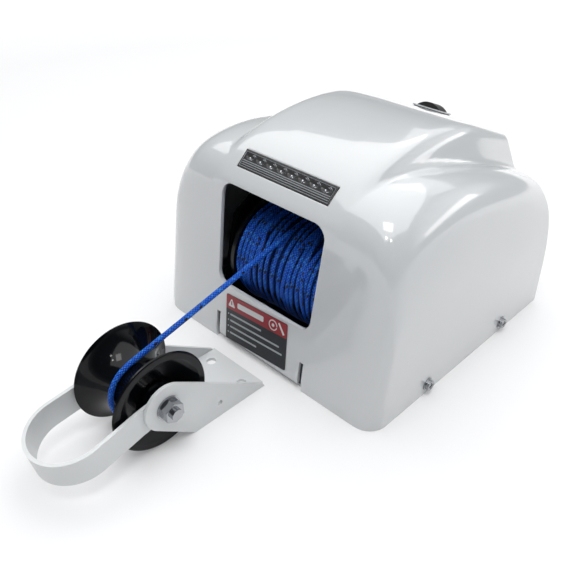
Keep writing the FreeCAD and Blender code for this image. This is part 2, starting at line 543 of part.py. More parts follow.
def make_bail():
    """A flat bar bent into a U, with an eye round the axle at each end, tilted nose down."""
    half = BAIL_HEIGHT / 2
    z0 = AXLE_Z - half

    def loop(inset):
        """The U seen from above, closed across the axle."""
        side, bend = BAIL_OUT - inset, BAIL_BEND_R - inset
        corners = [V(BRACKET_X + side, AXLE_Y, z0), V(BRACKET_X + bend, BAIL_BEND_Y, z0),
                   V(BRACKET_X, BAIL_BEND_Y - bend, z0), V(BRACKET_X - bend, BAIL_BEND_Y, z0),
                   V(BRACKET_X - side, AXLE_Y, z0)]
        splay = [V(BRACKET_X + x, AXLE_Y - BAIL_STRAIGHT, z0) for x in (side, -side)]
        edges = [Part.LineSegment(corners[0], splay[0]).toShape(),
                 Part.LineSegment(splay[0], corners[1]).toShape(), Part.Arc(*corners[1:4]).toShape(),
                 Part.LineSegment(corners[3], splay[1]).toShape(),
                 Part.LineSegment(splay[1], corners[4]).toShape(),
                 Part.LineSegment(corners[4], corners[0]).toShape()]
        return Part.Face(Part.Wire(edges)).extrude(V(0, 0, BAIL_HEIGHT))

    shape = loop(0).cut(loop(BAIL_T))
    for x0 in (BRACKET_X - BAIL_OUT, BRACKET_X + BAIL_OUT - BAIL_T):
        shape = shape.fuse(rod(half, x0, x0 + BAIL_T, AXLE_Y, AXLE_Z))
    shape = shape.cut(rod(AXLE_R + RUNNING_GAP, -90, 90, AXLE_Y, AXLE_Z)).removeSplitter()
    shape.rotate(V(0, AXLE_Y, AXLE_Z), X_AXIS, BAIL_DROP)
    return shape


def make_axle():
    out = CHEEK_OUT
    left, right = BRACKET_X - out, BRACKET_X + out
    washer_t, nut_t = 1.6, 7.5
    head = hexagon(16, left - washer_t - 6, left - washer_t, AXLE_Y, AXLE_Z)
    bolt = joined([head, rod(AXLE_R, left - washer_t - 1, right + washer_t + nut_t + 3, AXLE_Y, AXLE_Z)])
    nut = hexagon(16, right + washer_t, right + washer_t + nut_t, AXLE_Y, AXLE_Z)
    gap_in = ROLLER_HALF + 0.15
    gap_out = BAIL_OUT - BAIL_T - 0.1
    return {
        "axle_bolt": bolt,
        "axle_nut": nut.cut(rod(AXLE_R, -90, 90, AXLE_Y, AXLE_Z)),
        "axle_washers": group([ring(10.5, AXLE_R + 0.1, x, x + washer_t, AXLE_Y, AXLE_Z)
                               for x in (left - washer_t, right)]),
        "thrust_washers": group([ring(9, AXLE_R + 0.1, BRACKET_X + a, BRACKET_X + b, AXLE_Y, AXLE_Z)
                                 for a, b in ((-gap_out, -gap_in), (gap_in, gap_out))]),
        "roller_bushes": group([ring(7, AXLE_R + RUNNING_GAP, BRACKET_X + a, BRACKET_X + b, AXLE_Y, AXLE_Z)
                                for a, b in ((-ROLLER_HALF, -8), (8, ROLLER_HALF))]),
    }


# ---- free rope ----
def rope_route():
    """The taut run from the drum, points round the roller and a short tail: (x, y, z) each."""
    rise = DRUM_Z - AXLE_Z
    run = DRUM_Y - AXLE_Y
    slope = math.atan2(rise, run) + math.asin((ROPE_LAY_R - ROPE_TURN_R) / math.hypot(rise, run))
    start = (0.0, DRUM_Y - ROPE_LAY_R * math.sin(slope), DRUM_Z + ROPE_LAY_R * math.cos(slope))
    points = [start]
    half_turn = math.radians(WRAP_TURN / 2)
    corner_r = ROPE_TURN_R / math.cos(half_turn)
    for k in range(WRAP_CORNERS):
        angle = math.pi / 2 + slope + half_turn * (2 * k + 1)
        points.append((BRACKET_X, AXLE_Y + corner_r * math.cos(angle), AXLE_Z + corner_r * math.sin(angle)))
    end_angle = math.pi / 2 + slope + half_turn * 2 * WRAP_CORNERS
    heading = end_angle + math.pi / 2
    points.append((BRACKET_X,
                   AXLE_Y + ROPE_TURN_R * math.cos(end_angle) + TAIL * math.cos(heading),
                   AXLE_Z + ROPE_TURN_R * math.sin(end_angle) + TAIL * math.sin(heading)))
    return [V(*p) for p in points]


def rope_solid(points):
    """A tube along straight runs and tangent arcs of the roller's rope radius."""
    edges, here = [], points[0]
    for before, corner, after in zip(points, points[1:], points[2:]):
        incoming = (corner - before).normalize()
        outgoing = (after - corner).normalize()
        half = incoming.getAngle(outgoing) / 2
        room = 0.4999 * (after - corner).Length
        reach = min(ROPE_TURN_R * math.tan(half), room)
        radius = reach / math.tan(half)
        start, end = corner - incoming * reach, corner + outgoing * reach
        inward = (outgoing - incoming).normalize()
        middle = corner + inward * (radius / math.cos(half) - radius)
        if (start - here).Length > 0.001:
            edges.append(Part.LineSegment(here, start).toShape())
        edges.append(Part.Arc(start, middle, end).toShape())
        print("rope arc radius", round(radius, 2))
        here = end
    edges.append(Part.LineSegment(here, points[-1]).toShape())
    path = Part.Wire(edges)
    circle = Part.Wire([Part.Circle(points[0], points[1] - points[0], ROPE_R).toShape()])
    tube = path.makePipeShell([circle], True, False)
    print("rope length", round(path.Length, 1), "volume ratio",
          round(tube.Volume / (path.Length * math.pi * ROPE_R ** 2), 4))
    return tube


def make_rope():
    route = rope_route()
    run = rope_solid(route)
    knot = Part.makeSphere(KNOT_R, route[-1] + (route[-1] - route[-2]).normalize() * (KNOT_R - 1))
    return {"rope_run": run, "rope_knot": knot.cut(run)}


def main():
    os.makedirs("parts", exist_ok=True)
    parts = {"cover": make_cover(), "warning_plate": make_label(), "roller_bracket": make_bracket(),
             "anchor_roller": make_roller(), "bail": make_bail()}
    for makers in (make_chassis, make_drum, make_gears, make_motor, make_electrics, make_lamp,
                   make_switch, make_cover_fasteners, make_axle, make_rope):
        parts.update(makers())
    for name, shape in parts.items():
        if not shape.isValid() or shape.Volume <= 0:
            print("check", name, shape.isValid(), shape.Volume)
        export(name, shape)
    print(len(parts), "nodes")


main()
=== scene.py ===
"""Anchor windlass and roller bracket: the looks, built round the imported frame. Metres, same frame as the CAD."""
import json
import math
import random

import bmesh
import bpy
import numpy as np
from mathutils import Matrix, Vector


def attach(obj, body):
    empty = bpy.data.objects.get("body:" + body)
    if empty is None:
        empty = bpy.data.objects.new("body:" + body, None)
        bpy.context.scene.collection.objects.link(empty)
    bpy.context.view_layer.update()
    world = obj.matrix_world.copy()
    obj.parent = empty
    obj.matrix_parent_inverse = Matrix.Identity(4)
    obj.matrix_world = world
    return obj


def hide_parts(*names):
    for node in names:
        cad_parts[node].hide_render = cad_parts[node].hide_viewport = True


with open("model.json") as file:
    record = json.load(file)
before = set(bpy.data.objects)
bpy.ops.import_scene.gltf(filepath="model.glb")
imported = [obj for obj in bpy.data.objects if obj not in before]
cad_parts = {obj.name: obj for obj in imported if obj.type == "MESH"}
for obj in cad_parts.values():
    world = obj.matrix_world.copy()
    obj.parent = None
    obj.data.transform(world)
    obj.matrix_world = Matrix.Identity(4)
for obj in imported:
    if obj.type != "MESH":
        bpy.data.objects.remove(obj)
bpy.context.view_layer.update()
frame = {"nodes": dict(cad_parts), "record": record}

MM = 0.001


# ---------------------------------------------------------------- helpers
def link(name, mesh, smooth):
    """A mesh as an object in the scene."""
    obj = bpy.data.objects.new(name, mesh)
    bpy.context.scene.collection.objects.link(obj)
    if smooth:
        mesh.shade_smooth()
    return obj


def as_object(name, verts, faces, smooth=True):
    mesh = bpy.data.meshes.new(name)
    mesh.from_pydata([tuple(v) for v in verts], [], faces)
    mesh.validate()
    mesh.update()
    return link(name, mesh, smooth)


def from_bmesh(name, bm, smooth=True):
    mesh = bpy.data.meshes.new(name)
    bm.to_mesh(mesh)
    bm.free()
    return link(name, mesh, smooth)


def apply_modifiers(obj):
    """The object's modifiers, applied to its mesh."""
    graph = bpy.context.evaluated_depsgraph_get()
    mesh = bpy.data.meshes.new_from_object(obj.evaluated_get(graph), depsgraph=graph)
    obj.modifiers.clear()
    obj.data = mesh


def bevel(obj, width, angle):
    """Edges sharper than the angle are rounded."""
    m = obj.modifiers.new("edge", "BEVEL")
    m.width, m.segments = width, 2
    m.limit_method, m.angle_limit = "ANGLE", math.radians(angle)
    m.harden_normals = False


def smooth_by_angle(obj, angle):
    """Sharp edges stay sharp, the rest is smooth."""
    bm = bmesh.new()
    bm.from_mesh(obj.data)
    for e in bm.edges:
        e.smooth = len(e.link_faces) == 2 and e.calc_face_angle(0) < math.radians(angle)
    for f in bm.faces:
        f.smooth = True
    bm.to_mesh(obj.data)
    bm.free()


def interpolated(points, count):
    """Points on a natural cubic spline through these, evenly spread along it."""
    p = np.array(points, float)
    t = np.concatenate([[0], np.cumsum(np.linalg.norm(np.diff(p, axis=0), axis=1))])
    n = len(p)
    h = np.diff(t)
    a = np.zeros((n, n))
    rhs = np.zeros((n, p.shape[1]))
    a[0, 0] = a[-1, -1] = 1
    for i in range(1, n - 1):
        a[i, i - 1:i + 2] = h[i - 1], 2 * (h[i - 1] + h[i]), h[i]
        rhs[i] = 6 * ((p[i + 1] - p[i]) / h[i] - (p[i] - p[i - 1]) / h[i - 1])
    m = np.linalg.solve(a, rhs)
    found = []
    for s in np.linspace(0, t[-1], count):
        i = min(int(np.searchsorted(t, s, side="right")) - 1, n - 2)
        u, w, g = s - t[i], t[i + 1] - s, h[i]
        found.append((m[i] * w ** 3 + m[i + 1] * u ** 3) / (6 * g)
                     + (p[i] / g - m[i] * g / 6) * w + (p[i + 1] / g - m[i + 1] * g / 6) * u)
    return np.array(found)


def tube(name, path, radius, sides, closed=False, relief=None):
    """A mesh tube along points, with a UV map: U is the length in millimetres, V goes once round.

    relief(length so far, share of a turn) is added to the radius."""
    path = [Vector(p) for p in path]
    count = len(path)
    tangents = []
    for i in range(count):
        before = path[i - 1] if closed or i else path[0]
        after = path[(i + 1) % count] if closed or i < count - 1 else path[-1]
        tangents.append((after - before).normalized())
    normal = tangents[0].orthogonal().normalized()
    if abs(tangents[0].x) < 0.9:
        normal = (Vector((1, 0, 0)) - tangents[0] * tangents[0].x).normalized()
    verts, lengths, run = [], [], 0.0
    for i in range(count):
        normal = (normal - tangents[i] * normal.dot(tangents[i])).normalized()
        across = tangents[i].cross(normal)
        if i:
            run += (path[i] - path[i - 1]).length
        lengths.append(run)
        for k in range(sides):
            a = 2 * math.pi * k / sides
            r = radius + (relief(run, k / sides) if relief else 0.0)
            verts.append(path[i] + (normal * math.cos(a) + across * math.sin(a)) * r)
    faces, uvs = [], []
    last = count if closed else count - 1
    total = run + ((path[0] - path[-1]).length if closed else 0.0)
    for i in range(last):
        j = (i + 1) % count
        u0, u1 = lengths[i] / MM, (lengths[j] if j else total) / MM
        for k in range(sides):
            k1 = (k + 1) % sides
            faces.append((i * sides + k, i * sides + k1, j * sides + k1, j * sides + k))
            v0, v1 = k / sides, (k + 1) / sides
            uvs += [(u0, v0), (u0, v1), (u1, v1), (u1, v0)]
    if not closed:
        faces.append(tuple(range(sides))[::-1])
        uvs += [(0, k / sides) for k in range(sides)]
        faces.append(tuple((count - 1) * sides + k for k in range(sides)))
        uvs += [(lengths[-1] / MM, k / sides) for k in range(sides)]
    mesh = bpy.data.meshes.new(name)
    mesh.from_pydata(verts, [], faces)
    layer = mesh.uv_layers.new(name="UVMap")
    layer.data.foreach_set("uv", np.array(uvs, float).ravel())
    return link(name, mesh, True)


def join(name, objects):
    """Several mesh objects as one, with their UV maps and their faces' material slots kept."""
    bm = bmesh.new()
    for o in objects:
        bm.from_mesh(o.data)
    for o in objects:
        bpy.data.objects.remove(o)
    return from_bmesh(name, bm)


# ---------------------------------------------------------------- materials
class Nodes:
    """Short ways to write a node tree."""

    def __init__(self, tree):
        self.tree = tree

    def put(self, socket, value):
        if isinstance(value, bpy.types.NodeSocket):
            self.tree.links.new(value, socket)
        elif value is not None:
            socket.default_value = value

    def node(self, kind, out=0, sockets=None, **inputs):
        n = self.tree.nodes.new("ShaderNode" + kind)
        for key, value in (sockets or {}).items():
            setattr(n, key, value)
        for key, value in inputs.items():
            self.put(n.inputs[key.replace("_", " ")], value)
        return n.outputs[out]

    def math(self, operation, a, b=None, c=None):
        n = self.tree.nodes.new("ShaderNodeMath")
        n.operation = operation
        for socket, value in zip(n.inputs, (a, b, c)):
            self.put(socket, value)
        return n.outputs[0]

    def split(self, vector):
        n = self.tree.nodes.new("ShaderNodeSeparateXYZ")
        self.put(n.inputs[0], vector)
        return n.outputs

    def ramp(self, value, *stops, interpolation="LINEAR"):
        """A colour ramp. Its stops are (place, colour), from low to high."""
        n = self.tree.nodes.new("ShaderNodeValToRGB")
        self.put(n.inputs[0], value)
        n.color_ramp.interpolation = interpolation
        for k, (place, colour) in enumerate(stops):
            e = n.color_ramp.elements[k] if k < 2 else n.color_ramp.elements.new(place)
            e.position, e.color = place, colour
        return n.outputs[0]

    def mix(self, factor, a, b, blend="MIX"):
        n = self.tree.nodes.new("ShaderNodeMix")
        n.data_type, n.blend_type = "RGBA", blend
        for k, value in ((0, factor), (6, a), (7, b)):
            self.put(n.inputs[k], value)
        return n.outputs[2]

    def place(self):
        """A point in the object's own coordinates."""
        return self.node("TexCoord", out=3)

    def noise(self, scale, detail=3.0, roughness=0.5, vector=None):
        return self.node("TexNoise", Vector=vector or self.place(), Scale=scale, Detail=detail,
                         Roughness=roughness)


class Finish(Nodes):
    """A material. The settings are values on its shader's own sockets."""

    def __init__(self, name, **settings):
        self.material = bpy.data.materials.new(name)
        self.material.use_nodes = True
        super().__init__(self.material.node_tree)
        self.shader = self.tree.nodes["Principled BSDF"]
        for key, value in settings.items():
            self.shader.inputs[key.replace("_", " ")].default_value = value

    def set(self, name, value):
        self.put(self.shader.inputs[name], value)

    def bump(self, height, strength, distance):
        self.set("Normal", self.node("Bump", Strength=strength, Distance=distance, Height=height))


def grey(v, blue=0.0):
    return (v, v + blue * 0.3, v + blue, 1.0)


def glossy_white():
    g = Finish("glossy_white", IOR=1.5, Coat_Weight=1.0, Coat_Roughness=0.03)
    g.set("Base Color", g.mix(g.noise(9.0, 2.0), (0.595, 0.615, 0.63, 1), (0.64, 0.655, 0.665, 1)))
    g.set("Roughness", g.math("MULTIPLY_ADD", g.noise(60.0, 4.0), 0.10, 0.11))
    g.bump(g.noise(140.0, 2.0), 0.05, 0.0004)
    return g.material


def powder_white():
    g = Finish("powder_coat_white", Roughness=0.38, IOR=1.45, Coat_Weight=0.15, Coat_Roughness=0.25)
    g.set("Base Color", g.mix(g.noise(30.0), (0.66, 0.68, 0.69, 1), (0.73, 0.745, 0.75, 1)))
    g.bump(g.noise(900.0, 3.0), 0.12, 0.0003)
    return g.material


def black_gloss(name="black_gloss", base=0.0015, rough=0.1):
    g = Finish(name, IOR=1.3, Coat_Weight=0.12, Coat_Roughness=0.03, Coat_IOR=1.4)
    g.set("Base Color", g.mix(g.noise(25.0), grey(base * 0.7, 0.001), grey(base * 1.6, 0.002)))
    g.set("Roughness", g.ramp(g.noise(55.0, 5.0), (0.3, grey(rough * 0.7)), (0.75, grey(rough * 1.8))))
    g.bump(g.noise(220.0, 3.0), 0.05, 0.0003)
    return g.material


def black_satin(name, base=0.012, rough=0.45):
    g = Finish(name, Roughness=rough, IOR=1.45)
    g.set("Base Color", g.mix(g.noise(40.0), grey(base * 0.7), grey(base * 1.5)))
    g.bump(g.noise(1200.0, 2.0), 0.15, 0.0002)
    return g.material


def metal(name, colour, rough, scratch=160.0):
    """Metal with fine lines across its X."""
    g = Finish(name, Metallic=1.0)
    stretched = g.node("Mapping", Vector=g.place(), Scale=(scratch * 4, scratch, scratch))
    lines = g.noise(6.0, 5.0, 0.65, stretched)
    dark = tuple(c * 0.82 for c in colour)
    g.set("Base Color", g.mix(lines, (*dark, 1), (*colour, 1)))
    g.set("Roughness", g.ramp(lines, (0.25, grey(rough * 0.7)), (0.8, grey(rough * 1.6))))
    g.bump(lines, 0.06, 0.0002)
    return g.material


def plain_plastic(name, colour, rough=0.4):
    g = Finish(name, Roughness=rough, IOR=1.45)
    dark = tuple(c * 0.8 for c in colour)
    g.set("Base Color", g.mix(g.noise(50.0), (*dark, 1), (*colour, 1)))
    g.bump(g.noise(700.0), 0.08, 0.0002)
    return g.material


# A strand's step along the rope in millimetres, strands round it, and the same for the black flecks.
BRAID_STEP, BRAID_STRANDS, FLECK_STEP, FLECKS_ROUND = 2.8, 6.0, 2.6, 8.0
PAINTED_GLINT_FROM, FLECK_FROM = 0.82, 0.93                     # a cell whose random value is above this has one: a painted glint highlight, or a black fleck


def braided_rope(name, shade_sides=False):
    """Two families of strands wound opposite ways, over and under, with painted glint highlights, painted shade in
    the grooves and black flecks.

    The rope can get painted shade at its sides, where its neighbours touch it."""
    g = Finish(name, Roughness=0.42, IOR=1.4)
    u, v, _ = g.split(g.node("UVMap"))
    along = g.math("DIVIDE", u, BRAID_STEP)
    around = g.math("MULTIPLY", v, BRAID_STRANDS)
    p, q = g.math("ADD", along, around), g.math("SUBTRACT", along, around)

    def ridge(value):
        return g.math("ABSOLUTE", g.math("SINE", g.math("MULTIPLY", value, math.pi)))

    cell_p, cell_q = g.math("FLOOR", p), g.math("FLOOR", q)
    parity = g.math("MODULO", g.math("ABSOLUTE", g.math("ADD", cell_p, cell_q)), 2.0)
    half = g.math("MULTIPLY", parity, 0.5)
    height = g.math("ADD", g.math("MULTIPLY", ridge(p), g.math("ADD", half, 0.25)),
                    g.math("MULTIPLY", ridge(q), g.math("SUBTRACT", 0.75, half)))
    # Painted shade and highlight: the colour follows the weave's height, near black in the grooves between strands
    # and bright blue on their crests.
    blue = g.ramp(height, (0.3, (0.0, 0.003, 0.035, 1)), (0.58, (0.0, 0.028, 0.33, 1)),
                  (0.88, (0.004, 0.17, 0.92, 1)))
    cell = g.node("CombineXYZ", X=cell_p, Y=cell_q)
    # Painted highlight: random strand cells are lightened towards bright blue, more on the strand crests.
    painted_glint = g.math("GREATER_THAN", g.node("TexWhiteNoise", Vector=cell), PAINTED_GLINT_FROM)
    glint_lit = g.mix(g.math("MULTIPLY", painted_glint, g.math("MULTIPLY", height, 0.5)), blue, (0.05, 0.36, 0.95, 1))
    fleck_cell = g.node("CombineXYZ", X=g.math("FLOOR", g.math("DIVIDE", u, FLECK_STEP)),
                        Y=g.math("FLOOR", g.math("MULTIPLY", v, FLECKS_ROUND)))
    fleck = g.math("GREATER_THAN", g.node("TexWhiteNoise", Vector=fleck_cell), FLECK_FROM)
    colour = g.mix(fleck, glint_lit, (0.003, 0.004, 0.008, 1))
    if shade_sides:
        # Painted shade: the colour goes nearly black at the rope's two sides, where neighbouring turns touch.
        side = g.math("ABSOLUTE", g.math("COSINE", g.math("MULTIPLY", v, 2 * math.pi)))
        colour = g.mix(g.math("MULTIPLY", g.math("POWER", side, 5.0), 0.92), colour, (0.0, 0.001, 0.008, 1))
    g.set("Base Color", colour)
    g.bump(height, 1.0, 0.0006)
    return g.material


# ---------------------------------------------------------------- camera, floor and light
CAMERA_PLACE, CAMERA_AZIMUTH, CAMERA_ELEVATION = (0.3569, -0.4577, 0.4186), 44.45, 34.93
SENSOR, LENS = 36.0, 42.8                               # millimetres


def make_camera():
    azimuth, elevation = math.radians(CAMERA_AZIMUTH), math.radians(CAMERA_ELEVATION)
    back = Vector((math.sin(azimuth) * math.cos(elevation), -math.cos(azimuth) * math.cos(elevation),
                   math.sin(elevation)))
    right = Vector((math.cos(azimuth), math.sin(azimuth), 0))
    data = bpy.data.cameras.new("camera")
    data.sensor_width, data.lens = SENSOR, LENS
    camera = bpy.data.objects.new("camera", data)
    bpy.context.scene.collection.objects.link(camera)
    place = Matrix((right, back.cross(right), back)).transposed().to_4x4()
    place.translation = Vector(CAMERA_PLACE)
    camera.matrix_world = place
    bpy.context.scene.camera = camera


# Name, place, what it points at, width and height in metres, power in watts.
SOFTBOXES = (("overhead", (-0.3, 0.4, 2.6), (-0.1, 0.3, 0), (4.2, 4.6), 113.0),
             ("ridge", (1.21, 1.58, 0.58), (0.1, 0, 0.16), (1.2, 0.2), 1.9),
             ("key", (0.3, -0.5, 1.9), (0, -0.05, 0.1), (0.7, 0.5), 6.0),
             ("rear", (-0.3, 1.5, 1.2), (0, 0, 0.1), (1.2, 0.6), 2.0),
             ("lamp_a", (0.35, -0.75, 1.15), (0, -0.1, 0.1), (0.09, 0.09), 0.5),
             ("lamp_b", (0.62, -0.6, 1.1), (0, -0.1, 0.1), (0.09, 0.09), 0.5))
GLOW_DIRECTION = (0.56, 0.83, 0)                        # level, towards the back on the right
FLOOR_HALF, FLOOR_SPAN = 15, 5.0                        # metres; the span is what the floor's glow ramp covers
BLACK, WHITE = (0, 0, 0, 1), (1, 1, 1, 1)


def softbox(name, place, target, size, power):
    data = bpy.data.lights.new(name, "AREA")
    data.shape, data.size, data.size_y = "RECTANGLE", size[0], size[1]
    data.energy = power
    lamp = bpy.data.objects.new(name, data)
    bpy.context.scene.collection.objects.link(lamp)
    lamp.location = place
    lamp.rotation_euler = (Vector(target) - Vector(place)).to_track_quat("-Z", "Y").to_euler()


def make_sky():
    """A dim room with a soft glow low on one side, and a plain pale background behind it all."""
    world = bpy.data.worlds.new("studio")
    bpy.context.scene.world = world
    world.use_nodes = True
    w = Nodes(world.node_tree)
    direction = w.node("TexCoord")
    rise = w.split(direction)[2]
    room = w.ramp(rise, (0.03, (0.32, 0.33, 0.34, 1)), (0.20, (0.10, 0.105, 0.11, 1)))
    above = w.ramp(rise, (0.12, BLACK), (0.21, WHITE), interpolation="EASE")
    turn = w.tree.nodes.new("ShaderNodeVectorMath")
    turn.operation = "DOT_PRODUCT"
    w.put(turn.inputs[0], direction)
    w.put(turn.inputs[1], GLOW_DIRECTION)
    beside = w.ramp(turn.outputs["Value"], (0.75, BLACK), (0.97, WHITE), interpolation="EASE")
    lit = w.mix(1.0, room, w.mix(1.0, above, beside, "MULTIPLY"), "ADD")
    seen = w.tree.nodes.new("ShaderNodeLightPath").outputs["Is Camera Ray"]
    w.put(w.tree.nodes["Background"].inputs[0], w.mix(seen, lit, (0.90, 0.90, 0.905, 1)))


def make_studio():
    make_sky()
    h = FLOOR_HALF
    floor = as_object("floor", [(-h, -h, 0), (h, -h, 0), (h, h, 0), (-h, h, 0)], [(0, 1, 2, 3)], False)
    g = Finish("floor_white", Roughness=0.9, Emission_Strength=1.0)
    reach = g.node("VectorMath", out=1, sockets={"operation": "LENGTH"}, Vector=g.place())
    g.set("Emission Color", g.ramp(g.math("DIVIDE", reach, FLOOR_SPAN), (0.2, grey(0.14)), (0.42, grey(0.45)),
                                   (0.7, grey(0.86))))
    g.set("Base Color", g.mix(g.noise(0.6), (0.75, 0.75, 0.755, 1), (0.77, 0.77, 0.775, 1)))
    floor.data.materials.append(g.material)
    for light in SOFTBOXES:
        softbox(*light)
    bpy.context.scene.view_settings.view_transform = "Standard"
    bpy.context.scene.view_settings.look = "None"


# ---------------------------------------------------------------- sizes shared with the CAD, millimetres
DRUM_Y, DRUM_Z, ROPE_LAY_R, ROPE_R = -67.0, 77.0, 47.0, 2.4
AXLE_Y, AXLE_Z, ROPE_TURN_R, BRACKET_X = -253.0, 44.3, 27.5, -7.5
WRAP_CORNERS, WRAP_TURN, TAIL, KNOT_R = 5, 40.0, 14.0, 7.0      # the route turns 40 degrees at each corner
WINDING_X = (-46.0, 57.0)


# ---------------------------------------------------------------- free rope
RADII_TO_ROLLER = 12          # the added point's distance from the roller, in rope radii
BRAID_DEPTH, ROPE_STEP = 0.16, 0.45                             # millimetres
KNOT_STEPS, KNOT_STRAND_R, KNOT_SCALE = 150, 2.2, (2.3, 1.5, 1.5)


def rope_slope():
    """The taut run's angle over level."""
    rise, run = DRUM_Z - AXLE_Z, DRUM_Y - AXLE_Y
    return math.atan2(rise, run) + math.asin((ROPE_LAY_R - ROPE_TURN_R) / math.hypot(rise, run))


def rope_route():
    """The route's points: the taut run, the corners round the roller and the tail, in metres."""
    slope = rope_slope()
    start = (0.0, DRUM_Y - ROPE_LAY_R * math.sin(slope), DRUM_Z + ROPE_LAY_R * math.cos(slope))
    half_turn = math.radians(WRAP_TURN / 2)
    corner_r = ROPE_TURN_R / math.cos(half_turn)
    points = [start]
    for k in range(WRAP_CORNERS):
        a = math.pi / 2 + slope + half_turn * (2 * k + 1)
        points.append((BRACKET_X, AXLE_Y + corner_r * math.cos(a), AXLE_Z + corner_r * math.sin(a)))
    end = math.pi / 2 + slope + half_turn * 2 * WRAP_CORNERS
    heading = end + math.pi / 2
    points.append((BRACKET_X, AXLE_Y + ROPE_TURN_R * math.cos(end) + TAIL * math.cos(heading),
                   AXLE_Z + ROPE_TURN_R * math.sin(end) + TAIL * math.sin(heading)))
    points = [Vector(p) * MM for p in points]
    before_roller = points[1] + (points[0] - points[1]).normalized() * RADII_TO_ROLLER * ROPE_R * MM
    return [points[0], before_roller] + points[1:]


def spline_points(points):
    """Points on the route's NURBS spline."""
    data = bpy.data.curves.new("route", "CURVE")
    data.dimensions, data.resolution_u = "3D", 48
    spline = data.splines.new("NURBS")
    spline.points.add(len(points) - 1)
    for p, co in zip(spline.points, points):
        p.co = (*co, 1)
    spline.order_u = 3
    spline.use_endpoint_u = True
    curve = bpy.data.objects.new("route", data)
    bpy.context.scene.collection.objects.link(curve)
    graph = bpy.context.evaluated_depsgraph_get()
    mesh = bpy.data.meshes.new_from_object(curve.evaluated_get(graph), depsgraph=graph)
    found = [v.co.copy() for v in mesh.vertices]
    bpy.data.objects.remove(curve)
    return found


def even(path, step):
    """The path again with points a step apart, and its length."""
    lengths = np.concatenate([[0], np.cumsum([(b - a).length for a, b in zip(path, path[1:])])])
    marks = np.linspace(0, lengths[-1], max(int(lengths[-1] / step), 2))
    columns = [np.interp(marks, lengths, [p[i] for p in path]) for i in range(3)]
    return [Vector(c) for c in zip(*columns)], float(lengths[-1])


def braid_relief(run, turn):
    """The height of the strands over the rope's round section."""
    along, around = run / MM / BRAID_STEP, turn * BRAID_STRANDS
    p, q = along + around, along - around
    strand = p if (math.floor(p) + math.floor(q)) % 2 else q
    return -BRAID_DEPTH * MM * (1 - abs(math.sin(math.pi * strand)))


def make_rope(material):
    route = rope_route()
    path, length = even(spline_points(route), ROPE_STEP * MM)
    rope = tube("free_rope", path, ROPE_R * MM, 32, relief=braid_relief)
    rope.data.materials.append(material)
    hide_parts("rope_run")
    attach(rope, "root")
    centre = route[-1] + (route[-1] - route[-2]).normalized() * (KNOT_R - 1) * MM
    loop = []
    for k in range(KNOT_STEPS):
        t = 2 * math.pi * k / KNOT_STEPS
        trefoil = -math.sin(3 * t), math.sin(t) + 2 * math.sin(2 * t), math.cos(t) - 2 * math.cos(2 * t)
        loop.append(centre + Vector(c * scale for c, scale in zip(trefoil, KNOT_SCALE)) * MM)
    knot = tube("stopper_knot", loop, KNOT_STRAND_R * MM, 16, closed=True)
    knot.data.materials.append(material)
    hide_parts("rope_knot")
    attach(knot, "root")


# ---------------------------------------------------------------- winding
LOWER_R, UPPER_R, CROSSING_R = 42.9, 46.1, 48.0
LAST_TURN_R = 46.5            # just under the free rope, which leaves it
TURN_POINTS, END_GAP = 148, 0.1
TROUGH, CALM = 5.0, 10.0      # nearer the middle than these: no upper turns, and nearly straight ones
SINK, SINK_POINTS = 4.2, 9    # how deep a crossing turn's ends dive, and over how many points
PITCH = 2 * ROPE_R + 0.05


def wound_turn(centre_x, radius, tilt, phase, lift, start=0.0, sweep=2 * math.pi, drift=0.0):
    """One turn of rope on the drum, a little out of square and lifted where it crosses its neighbours."""
    points = []
    count = int(TURN_POINTS * sweep / (2 * math.pi))
    low, high = WINDING_X[0] + ROPE_R + END_GAP, WINDING_X[1] - ROPE_R - END_GAP
    for k in range(count):
        share = k / count
        a = start - sweep * share
        x = min(max(centre_x + tilt * math.sin(a + phase) + drift * share, low), high)
        r = radius + lift * (0.5 + 0.5 * math.cos(a * 2 + phase))
        points.append(Vector((x, DRUM_Y + r * math.cos(a), DRUM_Z + r * math.sin(a))) * MM)
    return points


# Where each crossing turn starts across the drum, how far it drifts, and its start and sweep in degrees.
CROSSING_TURNS = ((-41, 17, 150, 150), (-30, 12, 215, 190), (-36, 26, 95, 120), (-14, -20, 175, 120),
                  (12, 16, 200, 170), (20, 26, 130, 150), (44, -22, 225, 160), (50, -14, 120, 130),
                  (33, 12, 170, 110), (8, 10, 100, 100), (28, -14, 20, 140), (-26, -12, 330, 150))


def sunk_ends(points):
    """The ends of a turn dive between its neighbours."""
    axis_y, axis_z = DRUM_Y * MM, DRUM_Z * MM
    found = []
    for k, p in enumerate(points):
        ends = min(k, len(points) - 1 - k) / SINK_POINTS
        out = Vector((0, p.y - axis_y, p.z - axis_z)).normalized()
        found.append(p - out * SINK * MM * max(0.0, 1 - ends) ** 2)
    return found


